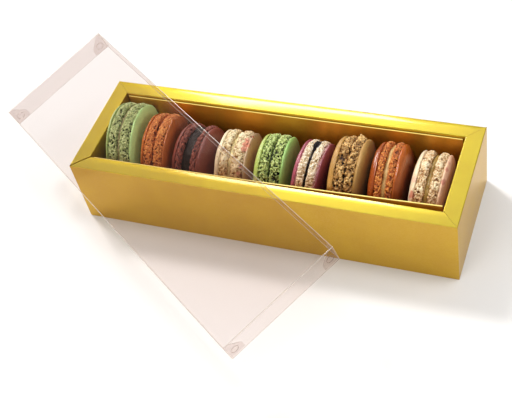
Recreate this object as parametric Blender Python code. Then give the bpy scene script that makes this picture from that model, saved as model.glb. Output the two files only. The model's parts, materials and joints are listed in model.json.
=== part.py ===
"""Macaron box: an open gilt card box, its liner, nine macarons on edge and a loose clear lid.

Metres, +Z up. The box stands on z = 0, centred on the origin, its length along X.
The front wall, the one with the loose lid against it, faces -Y.
"""
import math
import random

import bpy
import bmesh
from mathutils import Euler, Matrix, Vector

MM = 0.001

# Box
BOX_LENGTH = 200.0 * MM
BOX_DEPTH = 64.0 * MM
BOX_HEIGHT = 39.3 * MM
RIM_WIDTH = 8.5 * MM
FLOOR = 1.2 * MM
CREASE = 0.35 * MM
MITRE_SLIT = 0.25 * MM
OPEN_SLIT = 0.9 * MM
MITRE_DEPTH = 0.5 * MM
OPEN_DEPTH = 4.0 * MM

# Pieces that touch keep this gap
GAP = 0.3 * MM

# Liner: a strip of card folded to a U
CARD = 0.6 * MM
LINER_DROP = 1.3 * MM
LINER_END_GAP = 1.2 * MM
FRONT_FLAP_LEAN = 3.2 * MM
FLAP_STEPS = 8

# Lid: folded film, glued at its corner tabs
FILM = 0.4 * MM
LID_CLEARANCE = 0.4 * MM
LID_DEPTH = 12.0 * MM
TAB_LENGTH = 8.0 * MM
TAB_NECK = 2.0 * MM
LID_CENTRE = Vector((-50.2, -32.2, 45.4)) * MM
LID_TURN = (13.3, 1.7, -33.5)

# Macarons stand on edge on the liner, their axes along the box
SEGMENTS = 28
SEAT = FLOOR + GAP + CARD + GAP
RUFFLE = 0.35 * MM
FILLING_EDGE = 0.90
FILLING_BULGE = 0.92

# The first macaron is a little taller than it is wide
TALL = {"pistachio": 1.012}


class Macaron:
    """One macaron: where it stands, how it leans and how thick each layer is."""

    def __init__(self, flavour, x, y, radius, lean, turn, filling, foot, dome, shell, cream):
        self.flavour = flavour
        self.x = x * MM
        self.y = y * MM
        self.radius = radius * MM
        self.lean = math.radians(lean)
        self.turn = math.radians(turn)
        self.filling = filling * MM
        self.foot = foot * MM
        self.dome = dome * MM
        self.shell = shell
        self.cream = cream
        self.tall = TALL.get(flavour, 1.0)

    @property
    def centre(self):
        """Middle of the filling, high enough for the leaning feet to clear the liner."""
        reach = self.filling / 2 + self.foot
        upright = self.radius * self.tall * 1.02
        lift = upright * math.cos(self.lean) + reach * abs(math.sin(self.lean))
        return Vector((self.x, self.y, SEAT + lift))

    @property
    def matrix(self):
        """Local +Z becomes the macaron's axis, along +X before lean and turn."""
        return (Matrix.Translation(self.centre) @ Matrix.Rotation(self.turn, 4, "Z")
                @ Matrix.Rotation(math.radians(90) + self.lean, 4, "Y"))


MACARONS = [
    Macaron("pistachio", -80.5, 0.0, 22.0, 0.0, 4.5, 0.8, 5.0, 3.3,
            (0.42, 0.60, 0.25), (0.38, 0.33, 0.20)),
    Macaron("caramel", -62.3, 0.0, 20.2, 2.0, 3.0, 0.6, 4.5, 3.4,
            (0.72, 0.28, 0.08), (0.60, 0.25, 0.07)),
    Macaron("cocoa", -42.7, -0.4, 18.6, 0.5, -3.0, 5.2, 3.1, 4.3,
            (0.24, 0.07, 0.05), (0.08, 0.06, 0.05)),
    Macaron("vanilla", -21.3, -0.2, 18.2, 3.5, 3.5, 1.5, 4.2, 4.4,
            (0.86, 0.76, 0.58), (0.85, 0.76, 0.42)),
    Macaron("leaf_green", -0.1, 0.2, 18.4, 4.0, 3.0, 0.6, 4.7, 4.2,
            (0.34, 0.56, 0.18), (0.20, 0.32, 0.12)),
    Macaron("plum", 19.8, -0.3, 18.4, 5.5, -1.5, 0.6, 4.1, 3.5,
            (0.42, 0.08, 0.17), (0.06, 0.02, 0.05)),
    Macaron("coffee", 39.7, 0.8, 20.5, 3.0, 1.0, 0.6, 4.3, 4.9,
            (0.66, 0.45, 0.20), (0.45, 0.28, 0.10)),
    Macaron("apricot", 59.4, 1.2, 20.4, 2.0, 1.5, 2.0, 3.2, 4.8,
            (0.74, 0.28, 0.08), (0.80, 0.62, 0.32)),
    Macaron("rose", 79.5, 0.6, 19.4, 5.0, 0.0, 1.9, 4.5, 3.7,
            (0.82, 0.60, 0.50), (0.80, 0.74, 0.46)),
]


def clear_scene():
    """Remove what a new file holds."""
    for thing in list(bpy.data.objects):
        bpy.data.objects.remove(thing, do_unlink=True)
    for mesh in list(bpy.data.meshes):
        bpy.data.meshes.remove(mesh)


def material(name, colour, roughness, metallic=0.0, alpha=1.0):
    """A Principled material, made once for each name."""
    found = bpy.data.materials.get(name)
    if found:
        return found
    made = bpy.data.materials.new(name)
    made.use_nodes = True
    shader = made.node_tree.nodes["Principled BSDF"]
    shader.inputs["Base Color"].default_value = (*colour, 1.0)
    shader.inputs["Roughness"].default_value = roughness
    shader.inputs["Metallic"].default_value = metallic
    shader.inputs["Alpha"].default_value = alpha
    made.diffuse_color = (*colour, alpha)
    return made


def gilt_card():
    return material("gilt_card", (0.78, 0.56, 0.12), 0.32, 0.75)


def liner_card():
    return material("liner_card", (0.70, 0.46, 0.12), 0.35, 0.7)


def clear_film():
    return material("clear_film", (0.95, 0.92, 0.91), 0.06, 0.0, 0.25)


def add_object(name, bm, surface, smooth=False):
    """Turn a bmesh into a named object in the scene."""
    bmesh.ops.recalc_face_normals(bm, faces=bm.faces[:])
    mesh = bpy.data.meshes.new(name)
    bm.to_mesh(mesh)
    bm.free()
    mesh.materials.append(surface)
    if smooth:
        mesh.shade_smooth()
    made = bpy.data.objects.new(name, mesh)
    bpy.context.scene.collection.objects.link(made)
    return made


def block(low, high):
    """A box between two corners."""
    bm = bmesh.new()
    size = [b - a for a, b in zip(low, high)]
    middle = [(a + b) / 2 for a, b in zip(low, high)]
    place = Matrix.Translation(middle) @ Matrix.Diagonal((*size, 1.0))
    bmesh.ops.create_cube(bm, size=1.0, matrix=place)
    return bm


def cutter(name, bm):
    """A solid that only shapes another one."""
    tool = add_object(name, bm, gilt_card())
    tool.hide_render = True
    tool.display_type = "WIRE"
    return tool


def shape_with(target, tool, operation):
    """Join a cutter to its target by a Boolean, apply it and drop the cutter."""
    change = target.modifiers.new(tool.name, "BOOLEAN")
    change.operation = operation
    change.object = tool
    bpy.context.view_layer.objects.active = target
    with bpy.context.temp_override(object=target, active_object=target):
        bpy.ops.object.modifier_apply(modifier=change.name)
    bpy.data.objects.remove(tool, do_unlink=True)


def mitre_slit(name, corner_x, corner_y, width, depth):
    """A thin cut in the rim, from the box's corner to the opening's corner."""
    reach = RIM_WIDTH * math.sqrt(2) + 1 * MM
    bm = block((-width / 2, -1 * MM, -depth), (width / 2, reach, 1 * MM))
    inward = math.atan2(math.copysign(1, -corner_y), math.copysign(1, -corner_x))
    turn = Matrix.Rotation(inward - math.pi / 2, 4, "Z")
    bm.transform(Matrix.Translation((corner_x, corner_y, BOX_HEIGHT)) @ turn)
    return cutter(name, bm)


def build_frame():
    """The box: four wide walls with a flat rim, and a floor."""
    half_x = BOX_LENGTH / 2
    half_y = BOX_DEPTH / 2
    bm = block((-half_x, -half_y, 0.0), (half_x, half_y, BOX_HEIGHT))
    creased = [e for e in bm.edges if max(v.co.z for v in e.verts) > BOX_HEIGHT / 2]
    bmesh.ops.bevel(bm, geom=creased, offset=CREASE, segments=2, profile=0.5, affect="EDGES")
    frame = add_object("frame", bm, gilt_card())
    well = block((-half_x + RIM_WIDTH, -half_y + RIM_WIDTH, FLOOR),
                 (half_x - RIM_WIDTH, half_y - RIM_WIDTH, BOX_HEIGHT + 5 * MM))
    shape_with(frame, cutter("well", well), "DIFFERENCE")
    for sign_x in (-1, 1):
        for sign_y in (-1, 1):
            gaping = sign_x < 0 and sign_y < 0
            width = OPEN_SLIT if gaping else MITRE_SLIT
            depth = OPEN_DEPTH if gaping else MITRE_DEPTH
            slit = mitre_slit(f"slit_{sign_x}_{sign_y}", sign_x * half_x, sign_y * half_y, width, depth)
            shape_with(frame, slit, "DIFFERENCE")
    return frame


def build_liner():
    """A card strip folded to a U, its front flap leaning in towards the right end."""
    half_x = BOX_LENGTH / 2 - RIM_WIDTH - LINER_END_GAP
    half_y = BOX_DEPTH / 2 - RIM_WIDTH - GAP
    low = FLOOR + GAP
    top = BOX_HEIGHT - LINER_DROP
    bm = bmesh.new()
    rows = []
    for step in range(FLAP_STEPS + 1):
        share = step / FLAP_STEPS
        x = -half_x + 2 * half_x * share
        lean = FRONT_FLAP_LEAN * share ** 2
        section = [(-half_y, low), (half_y, low), (half_y, top), (half_y - CARD, top),
                   (half_y - CARD, low + CARD), (-half_y + CARD, low + CARD),
                   (-half_y + CARD + lean, top), (-half_y + lean, top)]
        rows.append([bm.verts.new((x, y, z)) for y, z in section])
    count = len(rows[0])
    for here, there in zip(rows, rows[1:]):
        for k in range(count):
            after = (k + 1) % count
            bm.faces.new((here[k], here[after], there[after], there[k]))
    for row in (rows[0], rows[-1]):
        bm.faces.new((row[0], row[1], row[4], row[5]))
        bm.faces.new((row[1], row[2], row[3], row[4]))
        bm.faces.new((row[0], row[5], row[6], row[7]))
    return add_object("liner", bm, liner_card())


def tab_prism(name, end, side, inner_x, inner_y):
    """One glued corner tab: a slanted flap flat on the inside of an end wall."""
    outline = [(0.0, FILM * 0.5), (TAB_NECK, FILM * 0.5), (TAB_LENGTH, -LID_DEPTH * 0.55),
               (TAB_LENGTH * 0.96, -LID_DEPTH * 0.75), (TAB_LENGTH * 0.8, -LID_DEPTH), (0.0, -LID_DEPTH)]
    bm = bmesh.new()
    near = []
    far = []
    for along, height in outline:
        y = side * (inner_y + FILM * 0.5 - along)
        near.append(bm.verts.new((end * (inner_x + FILM * 0.5), y, height - FILM)))
        far.append(bm.verts.new((end * (inner_x - FILM), y, height - FILM)))
    bm.faces.new(near)
    bm.faces.new(list(reversed(far)))
    for k in range(len(outline)):
        after = (k + 1) % len(outline)
        bm.faces.new((near[k], far[k], far[after], near[after]))
    for vert in bm.verts:
        vert.co.z = max(vert.co.z, -LID_DEPTH)
    return cutter(name, bm)


def build_lid():
    """The loose film lid, modelled open side down with its top at z = 0, then laid on the box."""
    inner_x = BOX_LENGTH / 2 + LID_CLEARANCE
    inner_y = BOX_DEPTH / 2 + LID_CLEARANCE
    outside = block((-inner_x - FILM, -inner_y - FILM, -LID_DEPTH), (inner_x + FILM, inner_y + FILM, 0.0))
    lid = add_object("lid", outside, clear_film())
    hollow = block((-inner_x, -inner_y, -LID_DEPTH - 5 * MM), (inner_x, inner_y, -FILM))
    shape_with(lid, cutter("lid_hollow", hollow), "DIFFERENCE")
    for end in (-1, 1):
        for side in (-1, 1):
            tab = tab_prism(f"tab_{end}_{side}", end, side, inner_x, inner_y)
            shape_with(lid, tab, "UNION")
    lid.location = LID_CENTRE
    lid.rotation_euler = Euler([math.radians(a) for a in LID_TURN], "XYZ")
    return lid


def ruffle(seed, count):
    """Uneven offsets round a rim: slow swells with a finer wobble."""
    draw = random.Random(seed)
    waves = [(k, draw.uniform(0.3, 1.0) / k ** 0.5, draw.uniform(0, math.tau)) for k in (2, 3, 5, 8)]
    offsets = []
    for step in range(count):
        angle = math.tau * step / count
        swell = sum(size * math.sin(k * angle + phase) for k, size, phase in waves)
        offsets.append(0.35 * swell + draw.uniform(-0.6, 0.6))
    return offsets


def ring(bm, radius, height, offsets=None):
    """A ring of vertices about local Z."""
    made = []
    for step in range(SEGMENTS):
        angle = math.tau * step / SEGMENTS
        reach = radius + (offsets[step] if offsets else 0.0)
        made.append(bm.verts.new((reach * math.cos(angle), reach * math.sin(angle), height)))
    return made


def skin(bm, rings):
    """Close a stack of rings with bands and a fan at each end."""
    for here, there in zip(rings, rings[1:]):
        for k in range(SEGMENTS):
            after = (k + 1) % SEGMENTS
            bm.faces.new((here[k], here[after], there[after], there[k]))
    for row in (rings[0], rings[-1]):
        height = sum(v.co.z for v in row) / SEGMENTS
        hub = bm.verts.new((0.0, 0.0, height))
        for k in range(SEGMENTS):
            bm.faces.new((row[k], row[(k + 1) % SEGMENTS], hub))


def shell_solid(cake, seed):
    """A shell about local Z: flat inner face at 0, ruffled foot, a lip and a domed cap."""
    radius = cake.radius
    foot = cake.foot
    bm = bmesh.new()
    rings = [ring(bm, radius * 0.95, 0.0, [RUFFLE * 0.4 * d for d in ruffle(seed, SEGMENTS)])]
    for share, swell in ((0.14, 0.995), (0.5, 1.005), (0.84, 0.985)):
        bumps = [RUFFLE * d for d in ruffle(seed + share, SEGMENTS)]
        rings.append(ring(bm, radius * swell, foot * share, bumps))
    rings.append(ring(bm, radius * 0.95, foot))
    for share, reach in ((0.06, 0.982), (0.22, 0.992), (0.46, 0.96), (0.70, 0.865), (0.88, 0.665)):
        rings.append(ring(bm, radius * reach, foot + cake.dome * share))
    skin(bm, rings)
    rings_top = max(v.co.z for v in bm.verts)
    for vert in bm.verts:
        if vert.co.z == rings_top and vert.co.xy.length < 1e-6:
            vert.co.z = foot + cake.dome
    return bm


def filling_solid(cake, seed):
    """The filling about local Z, centred on 0, bulging a little between the feet."""
    half = cake.filling / 2
    bm = bmesh.new()
    bumps = [RUFFLE * 0.8 * d for d in ruffle(seed, SEGMENTS)]
    rings = [ring(bm, cake.radius * FILLING_EDGE, -half, bumps),
             ring(bm, cake.radius * FILLING_BULGE, 0.0, bumps),
             ring(bm, cake.radius * FILLING_EDGE, half, bumps)]
    skin(bm, rings)
    return bm


def build_macaron(number, cake):
    """Two shells and the filling that runs through between them."""
    shell = material(f"shell_{cake.flavour}", cake.shell, 0.75)
    cream = material(f"filling_{cake.flavour}", cake.cream, 0.5)
    face = cake.filling / 2 + GAP
    outward = Matrix.Translation((0, 0, face))
    flipped = Matrix.Rotation(math.pi, 4, "X") @ outward
    for side, place in (("right", outward), ("left", flipped)):
        bm = shell_solid(cake, number * 10 + len(side))
        bm.transform(Matrix.Diagonal((cake.tall, 1.0, 1.0, 1.0)) @ place)
        half = add_object(f"macaron_{number}_{side}_shell", bm, shell, smooth=True)
        half.matrix_world = cake.matrix
    core = filling_solid(cake, number * 10)
    core.transform(Matrix.Diagonal((cake.tall, 1.0, 1.0, 1.0)))
    middle = add_object(f"macaron_{number}_filling", core, cream, smooth=True)
    middle.matrix_world = cake.matrix


def main():
    clear_scene()
    build_frame()
    build_liner()
    for number, cake in enumerate(MACARONS, start=1):
        build_macaron(number, cake)
    build_lid()


main()
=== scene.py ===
"""Macaron box: an open gilt card box, nine macarons on edge in its liner and a loose clear film lid."""

import json
import math

import bpy
import numpy as np
from bpy.props import CollectionProperty, FloatProperty, FloatVectorProperty, PointerProperty, StringProperty
from mathutils import Euler, Matrix, Vector

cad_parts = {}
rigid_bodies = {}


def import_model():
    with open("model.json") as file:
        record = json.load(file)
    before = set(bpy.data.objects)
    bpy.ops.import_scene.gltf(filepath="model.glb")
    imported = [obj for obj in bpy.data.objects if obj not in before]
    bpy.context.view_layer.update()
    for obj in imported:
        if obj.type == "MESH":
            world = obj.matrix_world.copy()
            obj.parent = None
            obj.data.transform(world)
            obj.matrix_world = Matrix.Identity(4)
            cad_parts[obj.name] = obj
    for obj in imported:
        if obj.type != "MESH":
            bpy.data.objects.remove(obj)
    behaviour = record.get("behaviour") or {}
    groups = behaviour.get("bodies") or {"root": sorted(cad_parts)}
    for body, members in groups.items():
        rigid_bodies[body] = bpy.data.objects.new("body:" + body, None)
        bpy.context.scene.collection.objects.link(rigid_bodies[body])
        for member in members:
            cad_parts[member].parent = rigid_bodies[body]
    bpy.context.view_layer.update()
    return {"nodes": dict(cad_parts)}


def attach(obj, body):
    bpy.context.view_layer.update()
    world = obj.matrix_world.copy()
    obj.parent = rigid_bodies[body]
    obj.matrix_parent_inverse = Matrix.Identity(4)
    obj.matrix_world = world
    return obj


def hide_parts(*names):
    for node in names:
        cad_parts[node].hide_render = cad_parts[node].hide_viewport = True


bl_info = {
    "name": "Macaron Box",
    "version": (1, 0, 0),
    "blender": (4, 5, 0),
    "location": "View3D > Sidebar > Macaron Box",
    "description": "Dresses the packed macaron box: gilt card, macarons, clear film lid and stage",
    "category": "Object",
}

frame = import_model()

MM = 0.001
NEAR = 0.001 * MM
ORIGIN = (0.0, 0.0, 0.0)
BODY = "root"

# Box
BOX_LENGTH = 200.0 * MM
BOX_DEPTH = 64.0 * MM
BOX_HEIGHT = 39.3 * MM
RIM_WIDTH = 8.5 * MM
FLOOR = 1.2 * MM

# Liner
GAP = 0.3 * MM
CARD = 0.6 * MM
SEAT = FLOOR + GAP + CARD + GAP
LINER_DROP = 1.3 * MM

# Lid
FILM = 0.3 * MM
LID_CLEARANCE = 0.4 * MM
LID_WALL = 0.4 * MM
LID_DEPTH = 12.0 * MM
TAB_LENGTH = 8.0 * MM
TAB_NECK = 2.0 * MM
TAB_SHORT = 0.8 * MM
TAB_FILM = 0.22 * MM
LID_CENTRE = Vector((-50.2, -32.2, 45.4)) * MM
LID_TURN = (13.3, 1.7, -33.5)

# Macaron meshes
AROUND = 400
AROUND_FILLING = 200
TEMPLATE_RADIUS = 20.0 * MM
TEMPLATE_FOOT = 4.5 * MM
TEMPLATE_DOME = 3.7 * MM
FOOT_RINGS = 22
RIM_SWELL = 1.02

# Camera fitted to the photograph's frame
CAMERA_PLACE = (0.171912, -0.31941, 0.409738)
CAMERA_RIGHT = (0.92899, 0.33003, -0.16753)
CAMERA_DOWN = (0.15293, -0.75448, -0.63826)
CAMERA_FORWARD = (-0.33704, 0.56732, -0.75137)
CAMERA_LENS = 73.26
CAMERA_SENSOR = 36.0


class Cake:
    """One macaron: where it stands, how thick its layers are, and how its crust looks."""

    def __init__(self, flavour, place, lean, turn, layers, cap, foot, crumb, pit, cream, relief, tall=1.0,
                 edge=0.905, gloss=0.36, lumps=None, spread=(0.0, 0.0)):
        self.flavour = flavour
        self.x, self.y, self.radius = (v * MM for v in place)
        self.lean = math.radians(lean)
        self.turn = math.radians(turn)
        self.filling, self.foot, self.dome = (v * MM for v in layers)
        self.cap = cap
        self.foot_colour = foot
        self.crumb = crumb
        self.pit = pit
        self.cream = cream
        self.relief, self.crumb_size, self.pit_depth = (v * MM for v in relief[:3])
        self.pits = relief[3]
        self.tall = tall
        self.gloss = gloss
        self.lumps = lumps or {}
        self.edge = edge
        self.spread = {"left": spread[0] * MM, "right": spread[1] * MM}

    @property
    def matrix(self):
        """Local +Z is the macaron's axis, which lies along the box before lean and turn."""
        reach = self.filling / 2 + self.foot
        upright = self.radius * self.tall * RIM_SWELL
        lift = upright * math.cos(self.lean) + reach * abs(math.sin(self.lean))
        return (Matrix.Translation((self.x, self.y, SEAT + lift)) @ Matrix.Rotation(self.turn, 4, "Z")
                @ Matrix.Rotation(math.radians(90) + self.lean, 4, "Y"))


# Sizes in millimetres and angles in degrees: flavour, (x, y, radius), lean, turn, (filling, foot, dome),
# colours of cap, foot, crumb, pit and cream, (crumb height, crumb size, pit depth, pitted share of the foot).
# The crumb colour is lighter on the raised crumbs, partly as painted light; the pit colour is painted shade.
# spread moves the edge of the left and the right cap outward. A lump is its angle from the top towards the
# front, its height from the filling, its size and how far it stands out.
CAKES = [
    Cake("pistachio", (-80.5, 0.0, 22.0), 0.0, 4.5, (0.8, 5.0, 3.3),
         (0.44, 0.60, 0.20), (0.39, 0.48, 0.18), (0.72, 0.81, 0.40), (0.030, 0.040, 0.015),
         (0.42, 0.38, 0.18), (0.60, 1.05, 1.1, 0.16), tall=1.012, edge=0.93, spread=(0.0, 1.1)),
    Cake("caramel", (-62.3, 0.0, 20.2), 2.0, 3.0, (0.6, 4.5, 3.4),
         (0.58, 0.155, 0.026), (0.60, 0.175, 0.034), (0.84, 0.36, 0.09), (0.16, 0.030, 0.010),
         (0.30, 0.08, 0.03), (0.50, 0.95, 0.6, 0.12), edge=0.88, gloss=0.26, spread=(0.0, 0.6),
         lumps={"right": ((-14, 7.0, 3.6, 1.2), (10, 3.0, 3.4, 0.5))}),
    Cake("cocoa", (-42.7, -0.4, 18.6), 0.5, -3.0, (5.2, 3.1, 4.3),
         (0.26, 0.060, 0.038), (0.22, 0.052, 0.034), (0.38, 0.110, 0.070), (0.040, 0.010, 0.008),
         (0.028, 0.018, 0.015), (0.50, 1.15, 0.8, 0.14), gloss=0.38),
    Cake("vanilla", (-21.3, -0.2, 18.2), 3.5, 3.5, (1.5, 4.2, 4.4),
         (0.88, 0.74, 0.49), (0.80, 0.65, 0.38), (0.87, 0.76, 0.51), (0.30, 0.15, 0.05),
         (0.86, 0.72, 0.36), (0.50, 1.20, 0.7, 0.09), gloss=0.5, spread=(0.3, 2.4),
         lumps={"left": ((-2, 0.8, 2.8, 1.3), (16, 3.2, 3.0, -0.8), (34, 1.8, 3.2, 0.7)),
                "right": ((-20, 1.5, 3.0, 1.0), (26, 2.2, 2.2, -0.8), (4, 3.6, 3.0, 0.6),
                          (44, 3.0, 3.0, 0.5))}),
    Cake("leaf_green", (-0.1, 0.2, 18.4), 4.0, 3.0, (0.6, 4.7, 4.2),
         (0.48, 0.60, 0.14), (0.43, 0.54, 0.15), (0.72, 0.84, 0.35), (0.018, 0.024, 0.008),
         (0.05, 0.07, 0.02), (0.60, 1.15, 1.5, 0.30), edge=0.87, gloss=0.42, spread=(0.0, 0.6),
         lumps={"left": ((22, 1.5, 2.4, -0.9), (2, 2.4, 2.4, 0.5)),
                "right": ((54, 3.0, 1.9, -1.4), (10, 1.6, 2.2, -0.7))}),
    Cake("plum", (19.8, -0.3, 18.4), 5.5, -1.5, (0.6, 4.1, 3.5),
         (0.42, 0.070, 0.125), (0.78, 0.64, 0.43), (0.98, 0.91, 0.78), (0.46, 0.27, 0.11),
         (0.012, 0.005, 0.006), (0.38, 1.20, 0.5, 0.10), edge=0.93, gloss=0.40, spread=(0.3, 1.0)),
    Cake("coffee", (39.7, 0.8, 20.5), 3.0, 1.0, (0.6, 4.3, 4.9),
         (0.58, 0.32, 0.070), (0.42, 0.21, 0.05), (0.78, 0.50, 0.19), (0.055, 0.020, 0.007),
         (0.20, 0.10, 0.035), (0.90, 1.60, 1.4, 0.22), edge=0.87, gloss=0.55,
         lumps={"left": ((-10, 3.0, 3.6, 1.1), (14, 2.6, 2.8, -1.1), (58, 6.9, 4.2, 1.3),
                         (36, 1.2, 2.2, 0.8)),
                "right": ((-42, 0.8, 4.2, 1.6), (-26, 2.2, 2.4, 0.9), (-8, 1.2, 2.2, 0.9),
                          (12, 3.0, 2.2, -0.8), (42, 2.0, 2.4, 0.7))}),
    Cake("apricot", (59.4, 1.2, 20.4), 2.0, 1.5, (2.0, 3.2, 4.8),
         (0.58, 0.135, 0.018), (0.50, 0.115, 0.015), (0.84, 0.36, 0.07), (0.17, 0.030, 0.008),
         (0.76, 0.50, 0.18), (0.55, 1.00, 0.7, 0.14), gloss=0.22),
    Cake("rose", (79.5, 0.6, 19.4), 5.0, 0.0, (1.9, 4.5, 3.7),
         (0.94, 0.75, 0.50), (0.74, 0.50, 0.26), (0.94, 0.79, 0.53), (0.34, 0.16, 0.06),
         (0.46, 0.29, 0.065), (0.50, 1.15, 0.8, 0.12), gloss=0.5,
         lumps={"left": ((4, 1.6, 3.6, 0.9), (0, 5.6, 2.6, 0.5), (40, 2.2, 4.0, 0.5)),
                "right": ((-4, 1.4, 3.0, 0.7), (30, 2.4, 4.0, 0.5))}),
]


# Tints of the caps: low down on the right side as painted shade, over the left cap, and over the right cap as
# its own tone and partly painted light
PAINTED_SHADE_LOW_RIGHT = {"pistachio": (0.95, 0.95, 0.95), "caramel": (0.58, 0.52, 0.56), "cocoa": (0.80, 0.80, 0.80),
             "vanilla": (0.50, 0.42, 0.38), "leaf_green": (0.62, 0.56, 0.50), "plum": (0.40, 0.24, 0.24),
             "coffee": (0.30, 0.23, 0.22), "apricot": (0.20, 0.11, 0.08), "rose": (0.80, 0.74, 0.68)}
LEFT_CAP = {"apricot": (0.62, 0.52, 0.60), "coffee": (0.86, 0.80, 0.66)}
RIGHT_CAP_TONE_AND_PAINTED_LIGHT = {"pistachio": (1.45, 1.68, 2.00), "leaf_green": (0.84, 1.20, 1.30)}

# Fruit stains. The blush of the right cap has its raggedness, the millimetres past the foot between which it
# comes up, its strength and its colour; on vanilla it is partly painted shade on the cap's face, which lies
# in shadow. The spots share their softness, raggedness, threshold and strength.
# A spot is its angle from the top towards the front, its height from the filling in millimetres, below 0 on
# the left shell, its size in millimetres and its colour.
STAINS = {
    "vanilla": {
        "blush": (2.4, 3.4, 5.4, 0.85, (0.60, 0.26, 0.15)),
        "spot": (1.2, 2.2, 1.50, 0.85),
        "spots": (
            (-8, 5.8, 2.1, (0.74, 0.26, 0.17)), (2, 5.9, 2.4, (0.70, 0.22, 0.14)),
            (11, 5.7, 1.9, (0.74, 0.28, 0.19)), (-22, 6.8, 1.4, (0.46, 0.05, 0.03)),
            (40, 5.6, 1.2, (0.62, 0.20, 0.12)), (66, 4.4, 1.8, (0.62, 0.24, 0.15)),
            (52, 4.9, 1.2, (0.62, 0.26, 0.16)), (60, -5.6, 0.7, (0.38, 0.04, 0.03)),
            (-4, 2.4, 1.0, (0.80, 0.46, 0.32)),
        ),
    },
    "rose": {
        "blush": (1.6, 0.2, 2.4, 0.7, (0.74, 0.34, 0.21)),
        "spot": (1.3, 1.8, 1.30, 0.8),
        "spots": (
            (50, -6.2, 2.6, (0.56, 0.12, 0.07)), (26, -6.3, 2.2, (0.84, 0.50, 0.36)),
            (2, 6.8, 1.9, (0.52, 0.17, 0.12)), (22, 6.4, 2.0, (0.50, 0.15, 0.11)),
            (64, -4.8, 1.8, (0.70, 0.26, 0.17)), (-14, 6.6, 1.5, (0.64, 0.30, 0.20)),
        ),
    },
}
SPOT_CORE = 0.35
SPOT_EDGE = 0.60


# Small helpers for working in object and edit mode

def object_mode():
    bpy.ops.object.mode_set(mode="OBJECT")


def edit_all():
    """Edit mode with everything selected."""
    bpy.ops.object.mode_set(mode="EDIT")
    bpy.ops.mesh.select_all(action="SELECT")


def turn_outward():
    """Turn every face outward and leave edit mode."""
    edit_all()
    bpy.ops.mesh.normals_make_consistent(inside=False)
    object_mode()


def deselect():
    """Leave edit mode and deselect everything."""
    if bpy.context.object and bpy.context.object.mode != "OBJECT":
        object_mode()
    bpy.ops.object.select_all(action="DESELECT")


def only(thing):
    """Make one object the only selected and active one."""
    deselect()
    thing.select_set(True)
    bpy.context.view_layer.objects.active = thing


def added(name):
    """The object a primitive operator has just made, named."""
    made = bpy.context.object
    made.name = name
    made.data.name = name
    return made


def pick(thing, kind, test):
    """In edit mode, select the verts, edges or faces that a test on their places passes."""
    object_mode()
    mesh = thing.data
    for group in (mesh.polygons, mesh.edges, mesh.vertices):
        group.foreach_set("select", np.zeros(len(group), bool))
    place = [v.co for v in mesh.vertices]
    if kind == "VERT":
        for v in mesh.vertices:
            v.select = test(v.co)
    elif kind == "EDGE":
        for e in mesh.edges:
            e.select = test(*(place[i] for i in e.vertices))
    else:
        for f in mesh.polygons:
            f.select = test(f.center, f.normal)
    bpy.ops.object.mode_set(mode="EDIT")
    bpy.ops.mesh.select_mode(type=kind)


def settle(thing, matrix=None):
    """Apply a piece's place, turn and size to its mesh."""
    only(thing)
    if matrix is not None:
        thing.matrix_world = matrix
        bpy.context.view_layer.update()
    bpy.ops.object.transform_apply(location=True, rotation=True, scale=True)


def apply_modifier(thing, kind, **settings):
    """Add one modifier, set it and apply it."""
    only(thing)
    bpy.ops.object.modifier_add(type=kind)
    change = thing.modifiers[-1]
    for key, value in settings.items():
        setattr(change, key, value)
    bpy.ops.object.modifier_apply(modifier=change.name)


def joined(name, things):
    """Join several pieces into one mesh."""
    only(things[0])
    for thing in things:
        thing.select_set(True)
    bpy.ops.object.join()
    return added(name)


def block(name, centre, size):
    """A plain block whose place and size are in its mesh."""
    deselect()
    bpy.ops.mesh.primitive_cube_add(size=1.0, location=centre)
    made = added(name)
    made.scale = size
    settle(made)
    return made


def dress(piece, *surfaces):
    """Give a piece these materials and no others."""
    piece.data.materials.clear()
    for surface in surfaces:
        piece.data.materials.append(surface)


def assign(piece, nodes):
    """Give a piece its body and hide the nodes it stands for."""
    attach(piece, BODY)
    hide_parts(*nodes)


def scaled(colour, shares):
    """A colour scaled by one share, or by one for each part, and kept below 1."""
    if isinstance(shares, float):
        shares = (shares,) * 3
    return tuple(min(1.0, v * share) for v, share in zip(colour, shares))


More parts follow.
